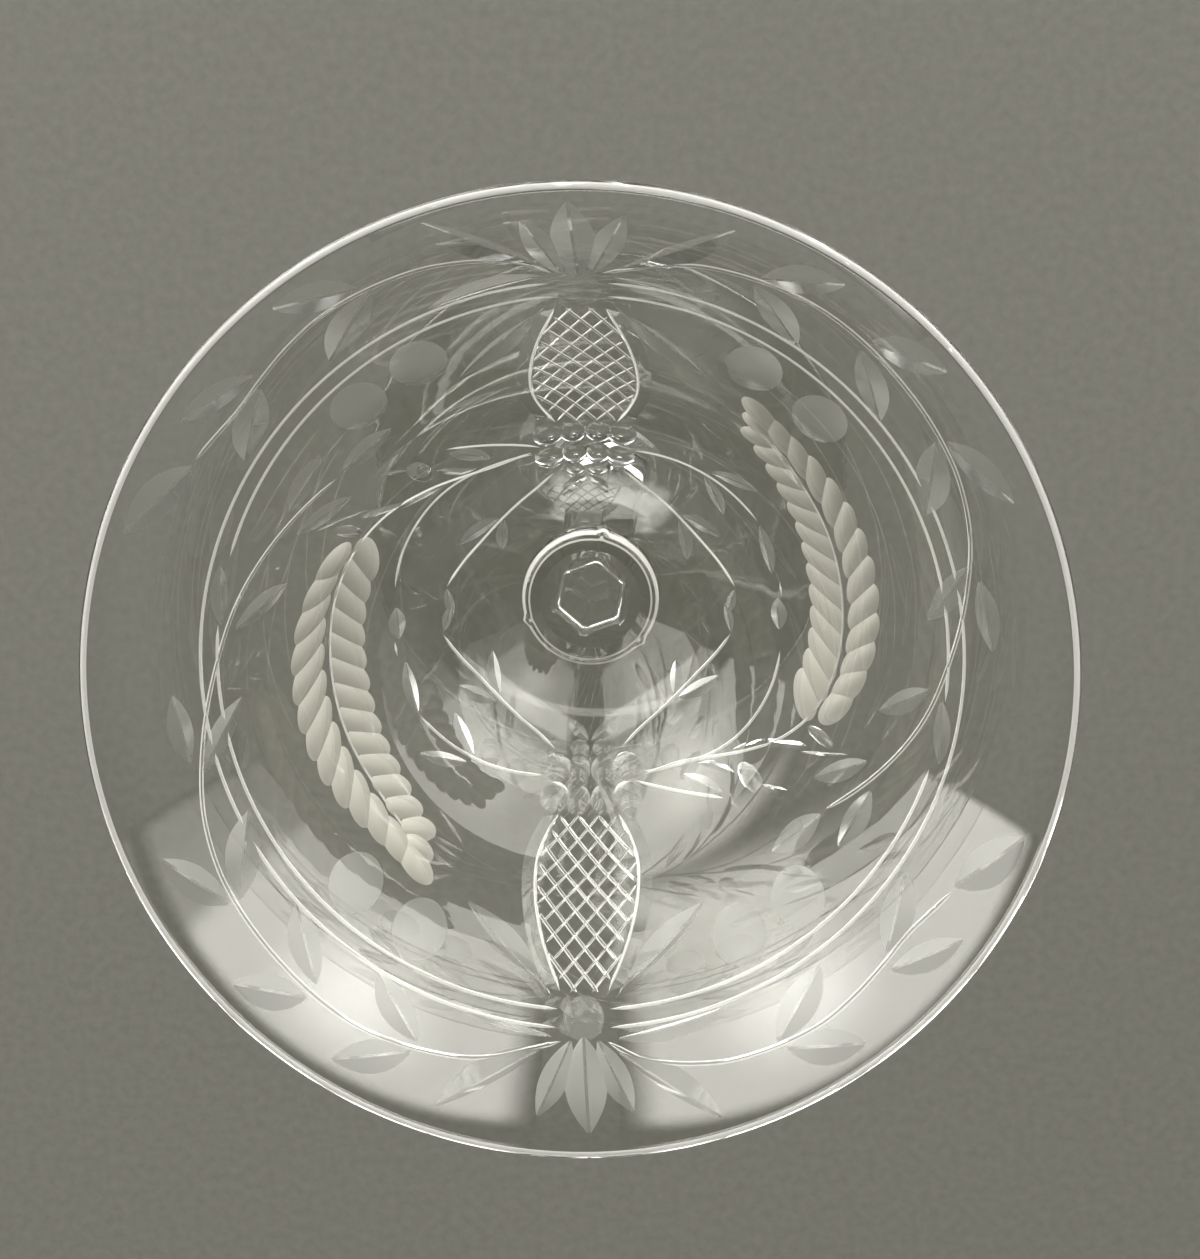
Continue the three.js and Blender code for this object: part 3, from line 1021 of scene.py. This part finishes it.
places = points_of(stem)
radius = np.hypot(places[:, 0], places[:, 1])
turn = np.arctan2(places[:, 1], places[:, 0])
panel = np.interp(places[:, 2], panel_line[:, 1], panel_line[:, 0])
shares = (1 / np.maximum(radius, near)) ** edge_softness
for i in range(sides):
    facing = np.radians(first_edge + (i + 0.5) * 360 / sides)
    shares += (np.maximum(np.cos(turn - facing), 0) / panel) ** edge_softness
pressed = shares ** (-1 / edge_softness)
places[:, :2] *= np.where(radius > near, pressed / np.maximum(radius, near), 1)[:, None]
move_points(stem, places)
give_finish(stem, pressed_crystal, [(foot_seat_height, foot_flare_radius), (stem_top, stem_seat_radius)])
shade(stem, pressed_crease)
print("stem:", len(stem.data.polygons), "faces,", sides, "panels")

# %% [markdown]
# ## The foot
#
# The foot is a gather spread flat on a table: a thin rounded edge, an upper side that sweeps up to the
# stem, and a hollow underside that leaves a flat ring to stand on. It is round, so it is spun as it is.

# %% Spin the foot
edge_thickness, seat_ledge = 2.2, 1.0
resting_ring, hollow_height, hollow_steps = 4.0, 1.8, 24
hollow_lean, edge_lean, shoulder_lean = 110, -86, -64
foot_crease = 12

edge_radius = edge_thickness / 2
edge_centre = (foot_radius - edge_radius, edge_radius)
shoulder = (foot_flare_radius + seat_ledge, foot_seat_height)
ring_inside = (edge_centre[0] - resting_ring, 0)
foot = spun("foot_glass", [
    sweep((0, hollow_height), leaning(90), ring_inside, leaning(hollow_lean), hollow_steps),
    straight(ring_inside, (edge_centre[0], 0)),
    quarter_round(edge_centre, edge_radius, -90, round_steps),
    quarter_round(edge_centre, edge_radius, 0, round_steps),
    sweep((edge_centre[0], edge_thickness), leaning(edge_lean), shoulder, leaning(shoulder_lean),
          wall_steps),
    straight(shoulder, foot_seat),
    straight(foot_seat, (0, foot_seat_height)),
])
give_finish(foot, foot_crystal, [(foot_seat_height, foot_flare_radius)])
shade(foot, foot_crease)
print("foot:", len(foot.data.polygons), "faces")

# %% [markdown]
# ## Tying the pieces to the frame
#
# Each piece stands for one node of the frame, whose own part is hidden, and rides on the one body that the
# glass has. The floor doesn't see the glass, because the specks of light that glass gathers on a table
# would need far more samples than a plain render has.

# %% Ride and replace
gathers = [(bowl, "bowl", "blown_crystal"), (collar, "collar", "pressed_crystal"),
           (stem, "stem", "pressed_crystal"), (foot, "foot", "foot_crystal")]
for piece, node, slot in gathers:
    piece.visible_diffuse = False
    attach(piece, "root")
    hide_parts(node)
    print(piece.name, "stands for", node)

# %% [markdown]
# ## The floor
#
# Clear glass shows what lies behind it, so the floor gives the bowl most of its tone. It is plain paper in
# a mid grey, on which the white cuts and the bright panes stand out. One large plane is enough for it, with
# a faint mottle so that it reads as paper.

# %% Make the floor
floor_width, fibre_size = 6000, 1.5


def seamless_paper(name):
    """Uncoated grey paper: matt, with a faint mottle of its fibres."""
    material, tree = new_material(name)
    place = add_node(tree, "ShaderNodeTexCoord", {})
    mottle = add_node(tree, "ShaderNodeTexNoise", {"Vector": place.outputs["Object"],
                                                   "Scale": per_metre(fibre_size), "Detail": 3.0})
    tone = add_node(tree, "ShaderNodeValToRGB", {"Fac": mottle.outputs["Fac"]})
    tone.color_ramp.elements[0].color = linear("#666660")
    tone.color_ramp.elements[1].color = linear("#7D7D76")
    shader = add_node(tree, "ShaderNodeBsdfPrincipled", {"Base Color": tone.outputs["Color"],
                                                         "Roughness": 0.9})
    add_node(tree, "ShaderNodeOutputMaterial", {"Surface": shader.outputs["BSDF"]})
    return material


bpy.ops.object.select_all(action="DESELECT")
bpy.ops.mesh.primitive_plane_add(size=floor_width * MM, location=(0, 0, 0))
floor = bpy.context.object
floor.name = "floor"
floor.data.materials.append(seamless_paper("seamless_paper_grey"))
print("floor", floor_width / 1000, "m wide")

# %% [markdown]
# ## The light
#
# Clear glass shows lamps as shapes. Two tall softboxes stand behind the glass and mirror in the near side
# of the bowl as two bright panes, and a panel above each shows near the collar. The lamp behind the cloth
# makes a hot core. A lying card carries one pane on towards the middle, and a small softbox in front lights
# the far wall. Area lamps would glow evenly, so each is a plane whose glow follows stops across and up it.

# %% Model a softbox
softbox_distance = 700
diffuser_glow = 5.1
diffuser_colour = linear("#FFFDF6")
core_glow, core_radius = 4.5, 260


def glow_along(tree, place, stops):
    """A share of the full glow that follows (mm, share) stops along one side of the diffuser."""
    first, last = stops[0][0], stops[-1][0]
    share = add_node(tree, "ShaderNodeMapRange", {
        "Value": place, "From Min": first * MM, "From Max": last * MM})
    ramp = add_node(tree, "ShaderNodeValToRGB", {"Fac": share.outputs["Result"]})
    ramp.color_ramp.interpolation = "EASE"
    while len(ramp.color_ramp.elements) < len(stops):
        ramp.color_ramp.elements.new(0.5)
    for element, (mark, level) in zip(ramp.color_ramp.elements, stops):
        element.position = (mark - first) / (last - first)
        element.color = (level, level, level, 1)
    return ramp.outputs["Color"]


def softbox(name, facing, across, up, core=None, lying=False):
    """A diffuser that faces the glass, upright or lying with its far edge under an upright one. across and
    up are stops in mm from the foot of its plumb line, and core is where the lamp behind shines through."""
    turn = math.radians(facing)
    foot_x, foot_y = softbox_distance * MM * math.cos(turn), softbox_distance * MM * math.sin(turn)
    bpy.ops.object.select_all(action="DESELECT")
    bpy.ops.mesh.primitive_plane_add(location=(foot_x, foot_y, MM if lying else 0),
                                     rotation=(0 if lying else math.pi / 2, 0, turn + math.pi / 2))
    box = bpy.context.object
    box.name = name
    move_points(box, [(across[i][0], up[j][0], 0) for i, j in ((0, 0), (-1, 0), (0, -1), (-1, -1))])
    box.visible_camera = False
    box.visible_diffuse = box.visible_shadow = not lying
    material, tree = new_material(name + "_diffuser_cloth")
    spot = add_node(tree, "ShaderNodeTexCoord", {})
    sides = add_node(tree, "ShaderNodeSeparateXYZ", {"Vector": spot.outputs["Object"]})
    level = add_node(tree, "ShaderNodeMath", {
        0: glow_along(tree, sides.outputs["X"], across), 1: glow_along(tree, sides.outputs["Y"], up)},
        operation="MULTIPLY")
    glow = add_node(tree, "ShaderNodeMath", {0: level.outputs[0], 1: diffuser_glow}, operation="MULTIPLY")
    if core:
        from_core = add_node(tree, "ShaderNodeMapping", {
            "Vector": spot.outputs["Object"],
            "Location": (-core[0] / core_radius, -core[1] / core_radius, 0),
            "Scale": [per_metre(core_radius)] * 3,
        })
        fade = add_node(tree, "ShaderNodeTexGradient", {"Vector": from_core.outputs["Vector"]},
                        gradient_type="SPHERICAL")
        hot = add_node(tree, "ShaderNodeMapRange", {"Value": fade.outputs["Fac"], "To Max": core_glow},
                       interpolation_type="SMOOTHSTEP")
        glow = add_node(tree, "ShaderNodeMath", {0: glow.outputs[0], 1: hot.outputs["Result"]},
                        operation="ADD")
    shine = add_node(tree, "ShaderNodeEmission", {"Color": diffuser_colour, "Strength": glow.outputs[0]})
    add_node(tree, "ShaderNodeOutputMaterial", {"Surface": shine.outputs["Emission"]})
    box.data.materials.append(material)
    return box


print("each softbox stands", softbox_distance, "mm from the glass")

# %% Set up the softboxes and the room
top_panel = [(600, 0), (640, 0.85), (780, 0.85), (830, 0)]
softbox("softbox_right", 58, [(-930, 0), (-850, 0.25), (-560, 0.35), (-470, 1), (240, 1), (350, 0)],
        [(0, 1), (488, 1), (543, 0), *top_panel], core=(-110, 270))
softbox("softbox_left", 122, [(-310, 0), (-200, 1), (900, 1), (960, 0)],
        [(0, 1), (480, 1), (535, 0), *top_panel], core=(120, 220))
softbox("card_left", 122, [(-230, 0), (-100, 1), (130, 1), (330, 0)],
        [(0, 1.2), (300, 1.1), (500, 0)], lying=True)
softbox("softbox_front", 266, [(-430, 0), (-350, 1), (200, 1), (260, 0)],
        [(210, 0), (260, 1), (430, 1), (480, 0)])

world = bpy.data.worlds.new("studio_room")
world.use_nodes = True
tree = world.node_tree
ahead = add_node(tree, "ShaderNodeTexCoord", {})
rise = add_node(tree, "ShaderNodeSeparateXYZ", {"Vector": ahead.outputs["Generated"]})
room = add_node(tree, "ShaderNodeValToRGB", {"Fac": rise.outputs["Z"]})
walls, ceiling = room.color_ramp.elements
walls.position, walls.color = 0.2, linear("#A6A6A2")
ceiling.position, ceiling.color = 0.5, linear("#4A443C")
tree.links.new(room.outputs["Color"], tree.nodes["Background"].inputs["Color"])
bpy.context.scene.world = world
bpy.context.scene.view_settings.view_transform = "Standard"
print("three softboxes and a card in a room with pale walls and a dark ceiling")

# %% [markdown]
# ## The camera
#
# The camera looks down into the bowl from the place, and with the lens, that make the rim, the collar and
# the two motifs fall where the photograph has them. It is set by its directions, because they come
# straight from such a fit, and angles would have to be worked out from them.

# %% Place the camera
camera_place = Vector((6.50, 47.49, 332.33))
camera_back = Vector((0.021233, 0.200683, 0.979427))
camera_up = Vector((0, 0.979647, -0.200728))
sensor_width = 36
image_width, focal_length_pixels = 1200, 2200

lens = bpy.data.cameras.new("camera")
lens.sensor_fit = "HORIZONTAL"
lens.sensor_width = sensor_width
lens.lens = focal_length_pixels / image_width * sensor_width
camera = bpy.data.objects.new("camera", lens)
bpy.context.scene.collection.objects.link(camera)
camera_right = camera_up.cross(camera_back)
turned = Matrix((camera_right, camera_up, camera_back)).transposed().to_4x4()
camera.matrix_world = Matrix.Translation(camera_place * MM) @ turned
bpy.context.scene.camera = camera
print(f"camera {camera_place.length:.0f} mm from the foot, lens {lens.lens:.0f} mm")
